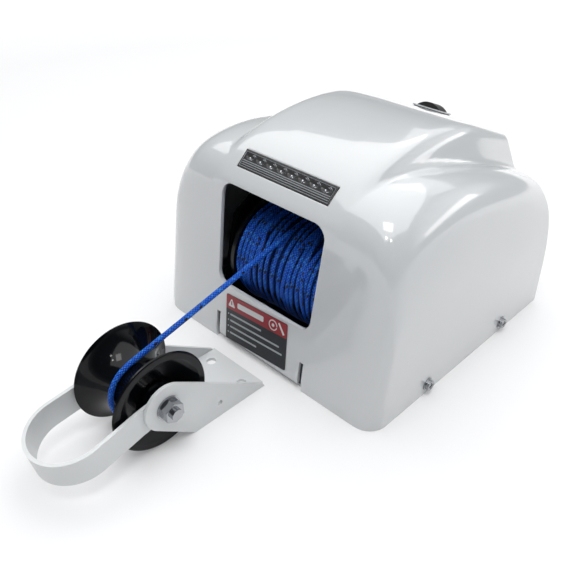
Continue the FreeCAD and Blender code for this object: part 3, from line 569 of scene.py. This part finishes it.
def make_winding(material):
    """Even turns below, uneven and crossing turns on top, and the ring that the free rope leaves."""
    dice = random.Random(7)
    pieces = []
    width = WINDING_X[1] - WINDING_X[0]
    lower = int(width / PITCH)
    for k in range(lower):
        x = WINDING_X[0] + (k + 0.5) * width / lower
        pieces.append(tube("turn", wound_turn(x, LOWER_R, 0.4, dice.random() * 6, 0.3), ROPE_R * MM, 8, True))
    x = WINDING_X[0] + ROPE_R + 0.2
    while x < WINDING_X[1] - ROPE_R:
        if abs(x) > TROUGH:
            wander = dice.choice((0.4, 0.9, 2.0)) * dice.choice((-1, 1)) * (1.0 if abs(x) > CALM else 0.25)
            turn = wound_turn(x, UPPER_R + dice.random() * 0.5, wander, dice.random() * 6.3, 0.7)
            pieces.append(tube("turn", turn, ROPE_R * MM, 12, True))
        x += PITCH * (1.02 + 0.3 * dice.random())
    for x, drift, start, sweep in CROSSING_TURNS:
        arc = wound_turn(x, CROSSING_R, 0.0, 0.0, 0.0, math.radians(start), math.radians(sweep), drift)
        pieces.append(tube("turn", sunk_ends(arc), ROPE_R * MM, 12))
    pieces.append(tube("turn", wound_turn(0.0, LAST_TURN_R, 0.0, 0.0, 0.0), ROPE_R * MM, 16, True))
    winding = join("wound_rope", pieces)
    winding.data.materials.append(material)
    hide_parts("rope_winding")
    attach(winding, "drum")


# ---------------------------------------------------------------- cover
# Side profiles as (y, z) and, across them, how far each drops at a distance from the middle: (x, drop).
HUMP_SIDE = [(-113.4, 156.0), (-102.6, 169.0), (-90.3, 180.5), (-68, 190.8), (-36, 197.6), (0, 200.4),
             (32, 199.2), (60, 194.2), (88, 184.2), (112, 174.2), (150, 158.0)]
SHOULDER_SIDE = [(-115.6, 141.0), (-110.5, 158.0), (-96, 174.0), (-72, 181.6), (-38, 183.0), (4, 176.5),
                 (52, 163.5), (100, 147.0), (150, 125.0)]
HUMP_ACROSS = [(0, 0), (30, 0), (52, -0.45), (59, -0.8), (62.2, -1.1), (65.3, -1.7), (68.1, -2.95), (70.6, -4.95),
               (72.6, -7.8), (76, -14.7), (84, -31), (110, -84), (200, -270)]
SHOULDER_ACROSS = [(0, 0), (60, 0), (86, -0.3), (101, -2.6), (113, -8.6), (121, -17.5), (127, -29),
                   (131, -45), (133.6, -66), (134.6, -95), (135, -140)]
FACE_SLOPE, WALL, CREASE, SIDE_ROWS = 0.15, 3.5, 4.5, 14
HUMP_FOOT = 98.0              # beyond this the hump is inside the shoulder, and it drops away fast
HALF, CORNER = 135.0, 19.0    # half the plan's width, and the radius of its two front corners
HUMP_FOOT_DROP, SKIRT, COVER_EDGE = 0.4, 10.0, 0.9
LENGTH_POINTS, FLAT_POINTS, ACROSS_POINTS, HUMP_POINTS, RIDGE_POINTS = 190, 30, 95, 700, 400
FACE_SHARES = (1.15, 0.9, 0.6, 0.35, 0.18, 0.08, 0.03)          # steps down the front face, as shares of its height


def side_curve(side, count):
    """A side profile, with the leaning front face below it."""
    y0, z0 = side[0]
    face = [(y0 - FACE_SLOPE * z0 * k, z0 * (1 - k)) for k in FACE_SHARES]
    return interpolated(face + side, count)


def within_plan(x, y):
    """The point, or the nearest one on the cover's rounded plan."""
    inner = HALF - CORNER
    ax, ay = abs(x), abs(y)
    if ax > inner and ay > inner and y < 0:
        reach = math.hypot(ax - inner, ay - inner)
        if reach > CORNER:
            ax, ay = inner + (ax - inner) * CORNER / reach, inner + (ay - inner) * CORNER / reach
    return math.copysign(min(ax, HALF), x), y if y > 0 else math.copysign(min(ay, HALF), y)


def cover_rows():
    """Rows of points across the outer face: each side profile is carried across, and the higher one shows."""
    lengthwise = side_curve(SHOULDER_SIDE, LENGTH_POINTS)
    hump = side_curve(HUMP_SIDE, HUMP_POINTS)
    across = interpolated(SHOULDER_ACROSS[1:], ACROSS_POINTS)
    flat = np.linspace(0, across[0][0], FLAT_POINTS)[:-1]
    xs = np.concatenate([flat, across[:, 0]])
    shoulder_drop = np.concatenate([np.zeros(len(flat)), across[:, 1]])
    ridge = interpolated(HUMP_ACROSS[1:], RIDGE_POINTS)
    hump_drop = np.interp(xs, np.concatenate([[0], ridge[:, 0]]), np.concatenate([[0], ridge[:, 1]]))
    hump_drop -= HUMP_FOOT_DROP * np.maximum(xs - HUMP_FOOT, 0) ** 2
    rows = []
    for y, z in lengthwise:
        hump_z = float(np.interp(y, hump[:, 0], hump[:, 1]))
        row = []
        for x, a, b in zip(xs, shoulder_drop, hump_drop):
            low, high = z + a, hump_z + b
            blend = max(CREASE - abs(low - high), 0.0) / CREASE
            row.append((*within_plan(x, y), max(low, high) + blend * blend * CREASE / 4))
        side_x, side_y, top = row[-1]
        foot = min(top, 0.0) - SKIRT
        row += [(side_x, side_y, top + (foot - top) * k / SIDE_ROWS) for k in range(1, SIDE_ROWS + 1)]
        rows.append([(-x, y, z) for x, y, z in row[:0:-1]] + row)
    return rows


def cover_skin():
    """The cover's outer face, closed at the back and open below the deck."""
    rows = cover_rows()
    bm = bmesh.new()
    found = [[bm.verts.new(Vector(p) * MM) for p in row] for row in rows]
    for near, far in zip(found, found[1:]):
        for i in range(len(near) - 1):
            bm.faces.new((near[i], near[i + 1], far[i + 1], far[i]))
    for place, normal in (((0, HALF * MM, 0), (0, 1, 0)), ((0, 0, -5 * MM), (0, 0, -1))):
        everything = bm.verts[:] + bm.edges[:] + bm.faces[:]
        bmesh.ops.bisect_plane(bm, geom=everything, plane_co=place, plane_no=normal, clear_outer=True)
    at_back = (HALF - 0.01) * MM
    loose = [e for e in bm.edges if len(e.link_faces) == 1 and all(v.co.y > at_back for v in e.verts)]
    rim = sorted({v for e in loose for v in e.verts}, key=lambda v: math.atan2(v.co.z, v.co.x))
    bm.faces.new(rim)
    bmesh.ops.recalc_face_normals(bm, faces=bm.faces[:])
    return bm


def rounded_outline(corners, radius, steps=10):
    """A polygon's outline with round corners."""
    found = []
    count = len(corners)
    for k in range(count):
        here = Vector(corners[k])
        before = (Vector(corners[k - 1]) - here).normalized()
        after = (Vector(corners[(k + 1) % count]) - here).normalized()
        half = before.angle(after) / 2
        centre = here + (before + after).normalized() * radius / math.sin(half)
        start = here + before * radius / math.tan(half) - centre
        end = here + after * radius / math.tan(half) - centre
        turn = start.angle(end)
        for s in range(steps + 1):
            w0, w1 = math.sin(turn * (1 - s / steps)), math.sin(turn * s / steps)
            found.append(centre + (start * w0 + end * w1) / math.sin(turn))
    return found


def slab(name, outline, along, start, end):
    """An outline of 2-D points, extruded along "y" (its points are x, z) or "z" (x, y)."""
    verts = []
    for depth in (start, end):
        verts += [(p[0], depth, p[1]) if along == "y" else (p[0], p[1], depth) for p in outline]
    n = len(outline)
    faces = [tuple(range(n)), tuple(range(2 * n - 1, n - 1, -1))]
    faces += [(k, k + n, (k + 1) % n + n, (k + 1) % n) for k in range(n)]
    obj = as_object(name, [Vector(v) * MM for v in verts], faces, False)
    bm = bmesh.new()
    bm.from_mesh(obj.data)
    bmesh.ops.recalc_face_normals(bm, faces=bm.faces[:])
    bm.to_mesh(obj.data)
    bm.free()
    return obj


# Where the lamp and the switch sit on the slope, in millimetres and degrees; gap is the clearance of their holes.
LAMP = dict(y=-96.5, z=174.75, tilt=43.35, length=104.0, width=17.2, gap=0.3, cut=(-23, 12))
SWITCH = dict(y=108.0, z=175.9, tilt=-22.6, length=25.0, width=16.0, gap=2.6, cut=(-14, 14))
WINDOW, WINDOW_CORNER = [(-56.8, 60.6), (56.8, 60.6), (60.3, 157.0), (-60.3, 157.0)], 12
SLOT_X, SLOT_HALF, SLOT_TOP = 53.7, 2.3, 29.7           # the two open slots at the foot of the front
FOOT_HALF, FOOT_TOP = 51.4, 6.5                         # the relief between them
SCREW_Y, SCREW_Z, SCREW_HOLE_R = (-58.8, 63.5), 9.8, 2.8
GLAND, GLAND_HOLE_R = (-92, HALF, 28), 8.2
WINDOW_CUT, FRONT_CUT, HOLE_DEPTH = (-170, -98), (-170, -120), 20


def rectangle(x0, y0, x1, y1):
    return [(x0, y0), (x1, y0), (x1, y1), (x0, y1)]


def tilt_to(obj, at):
    """A piece drawn flat at the origin goes to its place on the sloping cover."""
    obj.data.transform(Matrix.Translation((0, at["y"] * MM, at["z"] * MM))
                       @ Matrix.Rotation(math.radians(at["tilt"]), 4, "X"))
    return obj


def round_cutter(centre, radius, axis, segments):
    """A short cylinder, turned from Z by a quarter turn round the axis given."""
    bm = bmesh.new()
    bmesh.ops.create_cone(bm, cap_ends=True, segments=segments, radius1=radius * MM, radius2=radius * MM,
                          depth=HOLE_DEPTH * MM)
    bmesh.ops.rotate(bm, verts=bm.verts, matrix=Matrix.Rotation(math.pi / 2, 3, axis))
    bmesh.ops.translate(bm, verts=bm.verts, vec=Vector(centre) * MM)
    return from_bmesh("cut", bm, False)


def cover_cutters():
    """What is cut from the cover: window, slots, screw holes, foot relief, lamp, switch and gland."""
    cutters = [slab("cut", rounded_outline(WINDOW, WINDOW_CORNER), "y", *WINDOW_CUT)]
    for side in (-1, 1):
        x = side * SLOT_X
        cutters.append(slab("cut", rectangle(x - SLOT_HALF, -5, x + SLOT_HALF, SLOT_TOP), "y", *FRONT_CUT))
        for y in SCREW_Y:
            cutters.append(round_cutter((side * HALF, y, SCREW_Z), SCREW_HOLE_R, "Y", 24))
    cutters.append(slab("cut", rectangle(-FOOT_HALF, -5, FOOT_HALF, FOOT_TOP), "y", *FRONT_CUT))
    for at in (LAMP, SWITCH):
        half_l, half_w = at["length"] / 2 + at["gap"], at["width"] / 2 + at["gap"]
        cutters.append(tilt_to(slab("cut", rectangle(-half_l, -half_w, half_l, half_w), "z", *at["cut"]), at))
    cutters.append(round_cutter(GLAND, GLAND_HOLE_R, "X", 32))
    return cutters


def level_foot(obj):
    """The shell ends flat on the deck."""
    bm = bmesh.new()
    bm.from_mesh(obj.data)
    cut = bmesh.ops.bisect_plane(bm, geom=bm.verts[:] + bm.edges[:] + bm.faces[:], plane_co=(0, 0, 0),
                                 plane_no=(0, 0, -1), clear_outer=True)
    edges = [e for e in cut["geom_cut"] if isinstance(e, bmesh.types.BMEdge)]
    bmesh.ops.bridge_loops(bm, edges=edges)
    bmesh.ops.recalc_face_normals(bm, faces=bm.faces[:])
    bm.to_mesh(obj.data)
    bm.free()


def make_cover(material):
    cover = from_bmesh("moulded_cover", cover_skin())
    wall = cover.modifiers.new("wall", "SOLIDIFY")
    wall.thickness, wall.offset, wall.use_even_offset = WALL * MM, -1, False
    apply_modifiers(cover)
    level_foot(cover)
    for cutter in cover_cutters():
        cut = cover.modifiers.new("cut", "BOOLEAN")
        cut.operation, cut.object, cut.solver = "DIFFERENCE", cutter, "EXACT"
        apply_modifiers(cover)
        bpy.data.objects.remove(cutter)
    cover.data.materials.clear()
    cover.data.materials.append(material)
    bevel(cover, COVER_EDGE * MM, 50)
    apply_modifiers(cover)
    smooth_by_angle(cover, 38)
    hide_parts("cover")
    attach(cover, "root")


# ---------------------------------------------------------------- lamp
CUPS, RIBS = 8, 3
SMOKED, MIRRORED, PALE_HIGHLIGHT = 0, 1, 2                        # the lens's material slots; the pale one is painted highlight on the rib crests and the inner line, and the mirrored one also makes painted glint arcs in the cups
RIM, LINE, GROOVE = 1.5, 2.1, 2.7                       # from the edge in: a rounded rim, a pale line of painted highlight, a groove
RIBS_TOP, CUP_Y, CUP_HALF, BULB_R = -0.4, 3.1, 3.2, 1.3
LENS_GRID, LENS_BASE = (420, 88), -2.5


def lens_spot(x, y):
    """The lens face at a point: its height over the slope, and its material slot."""
    half_l, half_w = LAMP["length"] / 2, LAMP["width"] / 2
    edge = min(half_l - abs(x), half_w - abs(y))
    if edge < RIM:
        return 0.9 - 0.35 * max(0.0, 1 - edge / 1.1) ** 2, SMOKED
    if edge < LINE:
        return 0.7, PALE_HIGHLIGHT
    if edge < GROOVE:
        return 0.25, SMOKED
    if y < RIBS_TOP:
        share = (y + half_w - GROOVE) / (half_w - 3.1) * RIBS
        crest = abs(math.sin(math.pi * share))
        # Painted highlight: the rib crests get the pale material.
        return 0.2 + 0.6 * crest ** 0.8, PALE_HIGHLIGHT if crest > 0.8 else SMOKED
    pitch = (LAMP["length"] - 6) / CUPS
    dx, dy = x - (math.floor(x / pitch) + 0.5) * pitch, y - CUP_Y
    reach = math.hypot(dx / (pitch * 0.46), dy / CUP_HALF)
    if reach > 1:
        return 0.55, SMOKED
    bulb = math.hypot(dx + 1.2, dy + 1.2)
    if bulb < BULB_R:
        return -0.6 + 0.9 * math.sqrt(BULB_R ** 2 - bulb ** 2), MIRRORED
    # Painted reflection: two arcs on each cup's right half get the bright mirror material, where the cup's glints
    # fall.
    inner_glint_painted = 0.50 < reach < 0.68 and dx > 0
    outer_glint_painted = 0.86 < reach and dx > 0.6 and dy > -1.5
    return 0.55 - 1.5 * (1 - reach ** 2), MIRRORED if inner_glint_painted or outer_glint_painted else SMOKED


def make_lamp(smoke, mirror, pale):
    (nx, ny), length, width = LENS_GRID, LAMP["length"], LAMP["width"]

    def grid_point(i, j):
        return -length / 2 + length * i / nx, -width / 2 + width * j / ny

    verts, faces, which = [], [], []
    for j in range(ny + 1):
        for i in range(nx + 1):
            x, y = grid_point(i, j)
            verts.append(Vector((x, y, lens_spot(x, y)[0])) * MM)
    for j in range(ny):
        for i in range(nx):
            a = j * (nx + 1) + i
            faces.append((a, a + 1, a + nx + 2, a + nx + 1))
            which.append(lens_spot(*grid_point(i + 0.5, j + 0.5))[1])
    rim = list(range(nx)) + [j * (nx + 1) + nx for j in range(ny)]
    rim += [ny * (nx + 1) + i for i in range(nx, 0, -1)] + [j * (nx + 1) for j in range(ny, 0, -1)]
    base = len(verts)
    verts += [Vector((verts[k].x, verts[k].y, LENS_BASE * MM)) for k in rim]
    for k in range(len(rim)):
        k1 = (k + 1) % len(rim)
        faces.append((rim[k1], rim[k], base + k, base + k1))
    faces.append(tuple(base + k for k in range(len(rim)))[::-1])
    which += [SMOKED] * (len(rim) + 1)
    lens = as_object("lamp_face", verts, faces)
    for material in (smoke, mirror, pale):
        lens.data.materials.append(material)
    lens.data.polygons.foreach_set("material_index", which)
    smooth_by_angle(lens, 50)
    tilt_to(lens, LAMP)
    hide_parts("lamp_lens")
    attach(lens, "root")


# ---------------------------------------------------------------- label
LABEL_HALF, LABEL_X, LABEL_Z, LABEL_TURN = (39.0, 23.3), -3.7, 32.6, 3.6
LABEL_BACK, LABEL_FRONT, INK = 0.35, 0.75, 0.05         # heights off the face, and the thickness of print
BAND, BAR_LENGTHS = 14.5, (0.60, 0.94, 1.0, 0.52)      # the red band's height, and each grey bar's share of the width
GROUND, RED, WHITE_PRINT, GREY_PRINT = 0, 1, 2, 3       # the label's material slots


def label_place():
    """From flat label coordinates (right, up, out) to the leaning face, in millimetres."""
    lean = math.atan(FACE_SLOPE)
    y0, z0 = HUMP_SIDE[0]
    to_face = Matrix(((1, 0, 0), (0, 0, -1), (0, 1, 0))).to_4x4()
    return (Matrix.Translation((LABEL_X, y0 - FACE_SLOPE * (z0 - LABEL_Z), LABEL_Z))
            @ Matrix.Rotation(-lean, 4, "X") @ Matrix.Rotation(-math.radians(LABEL_TURN), 4, "Y") @ to_face)


def ring_outline(cx, cy, r, steps=28):
    angles = [2 * math.pi * k / steps for k in range(steps)]
    return [(cx + r * math.cos(a), cy + r * math.sin(a)) for a in angles]


def make_label(dark, red, pale, print_grey):
    """A plain safety plate: a red band with a triangle, a bar and a wheel, and grey bars below."""
    w, h = LABEL_HALF
    band = h - BAND
    top = LABEL_FRONT + INK
    shapes = [(rounded_outline(rectangle(-w, -h, w, h), 1.5, 6), LABEL_BACK, LABEL_FRONT, GROUND),
              (rounded_outline(rectangle(-w, band, w, h), 1.5, 6), LABEL_FRONT, top, RED)]
    triangle = [(-w + 2.5, band + 3), (-w + 12, band + 3), (-w + 7.2, h - 2.6)]
    shapes.append((rounded_outline(triangle, 0.8, 4), top, top + INK, WHITE_PRINT))
    stroke = rectangle(-w + 6.6, band + 5, -w + 7.8, band + 9)
    shapes.append((rounded_outline(stroke, 0.3, 3), top + INK, top + 2 * INK, RED))
    bar = rectangle(-w + 15, band + 4.6, w - 29, h - 4.4)
    wheel_x, wheel_y = w - 17, band + 7
    wheel = ring_outline(wheel_x, wheel_y, 5.2) + ring_outline(wheel_x, wheel_y, 4.2)[::-1]
    slash = [(w - 11, band + 11.5), (w - 9.4, band + 12.4), (w - 2.6, band + 3.2), (w - 4.6, band + 2.0)]
    for outline in (rounded_outline(bar, 1.2, 5), wheel, ring_outline(wheel_x, wheel_y, 1.6), slash):
        shapes.append((outline, top, top + INK, WHITE_PRINT))
    for row, length in enumerate(BAR_LENGTHS):
        y = band - 5.2 - 6.4 * row
        bar = rectangle(-w + 5.5, y - 0.9, -w + 6.5 + (2 * w - 11) * length, y + 0.9)
        for outline in (rounded_outline(bar, 0.8, 4), ring_outline(-w + 3.2, y, 0.8, 12)):
            shapes.append((outline, LABEL_FRONT, top, GREY_PRINT))
    parts = []
    for outline, low, high, kind in shapes:
        part = slab("label", outline, "z", low, high)
        for polygon in part.data.polygons:
            polygon.material_index = kind
        parts.append(part)
    label = join("safety_plate", parts)
    label.data.shade_flat()
    scale = Matrix.Scale(MM, 4)
    label.data.transform(scale @ label_place() @ scale.inverted())
    for material in (dark, red, pale, print_grey):
        label.data.materials.append(material)
    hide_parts("warning_plate")
    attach(label, "root")


# ---------------------------------------------------------------- build
make_camera()
rope_material = braided_rope("braided_rope")
make_rope(rope_material)
make_studio()
# The winding's rope has painted shade along its sides, between the turns.
make_winding(braided_rope("rope_with_side_shade", True))
white = glossy_white()
make_cover(white)

smoke = black_gloss("lens_smoke", 0.04, 0.12)
mirror = metal("cup_mirror", (0.55, 0.57, 0.6), 0.18, 40.0)
# The pale lens material is painted highlight on the rib crests and the inner line.
make_lamp(smoke, mirror, plain_plastic("lens_crest_highlight", (0.26, 0.28, 0.30), 0.3))
make_label(plain_plastic("print_dark", (0.012, 0.016, 0.022)), plain_plastic("print_red", (0.32, 0.02, 0.03)),
           plain_plastic("print_white", (0.72, 0.72, 0.72)), plain_plastic("print_grey", (0.42, 0.44, 0.46), 0.5))

CAD_MATERIALS = {
    "cover": white, "bezel": white, "bracket": powder_white(), "roller": black_gloss(),
    "drum": black_gloss("drum_black", 0.003, 0.16), "frame": black_gloss("frame_black", 0.003, 0.25),
    "black_plastic": black_satin("black_plastic"), "rocker": black_satin("rocker_rubber", 0.02, 0.4),
    "electric_box": black_satin("box_plastic", 0.03, 0.5), "motor": black_satin("motor_paint", 0.015, 0.3),
    "magnet": black_satin("magnet_grey", 0.08, 0.6), "armature": metal("armature_steel", (0.35, 0.28, 0.2), 0.5),
    "steel": metal("zinc_steel", (0.55, 0.56, 0.58), 0.3), "stainless": metal("stainless", (0.42, 0.43, 0.45), 0.15),
    "gear": metal("gear_steel", (0.45, 0.45, 0.47), 0.3), "bronze": metal("bronze", (0.6, 0.42, 0.2), 0.3),
    "lamp_chrome": metal("lamp_chrome", (0.8, 0.8, 0.82), 0.08),
    "nylon": plain_plastic("nylon", (0.75, 0.75, 0.72)), "circuit_board": plain_plastic("board", (0.03, 0.15, 0.07)),
    "led": plain_plastic("led_yellow", (0.8, 0.7, 0.3), 0.2), "label": plain_plastic("label", (0.02, 0.025, 0.03)),
    "lamp_lens": smoke,
}
# Bevel widths in millimetres.
SOFT_EDGES = {"roller_bracket": 0.5, "bail": 0.5, "base_pan": 0.4, "axle_nut": 0.35, "axle_bolt": 0.25,
              "axle_washers": 0.2, "cover_screws": 0.2, "cover_washers": 0.15, "frame_left": 0.4,
              "frame_right": 0.4, "gear_side_plate": 0.4, "anchor_roller": 0.3, "switch_bezel": 0.4,
              "switch_rocker": 0.4, "drum_flange_left": 0.4, "drum_flange_right": 0.4}
slots = {s["node"]: s["material_slot"] for s in frame["record"]["subparts"]}
for node, obj in frame["nodes"].items():
    finish = CAD_MATERIALS.get(slots[node])
    if finish:
        obj.data.materials.clear()
        obj.data.materials.append(finish)
    if node in SOFT_EDGES:
        bevel(obj, SOFT_EDGES[node] * MM, 40)
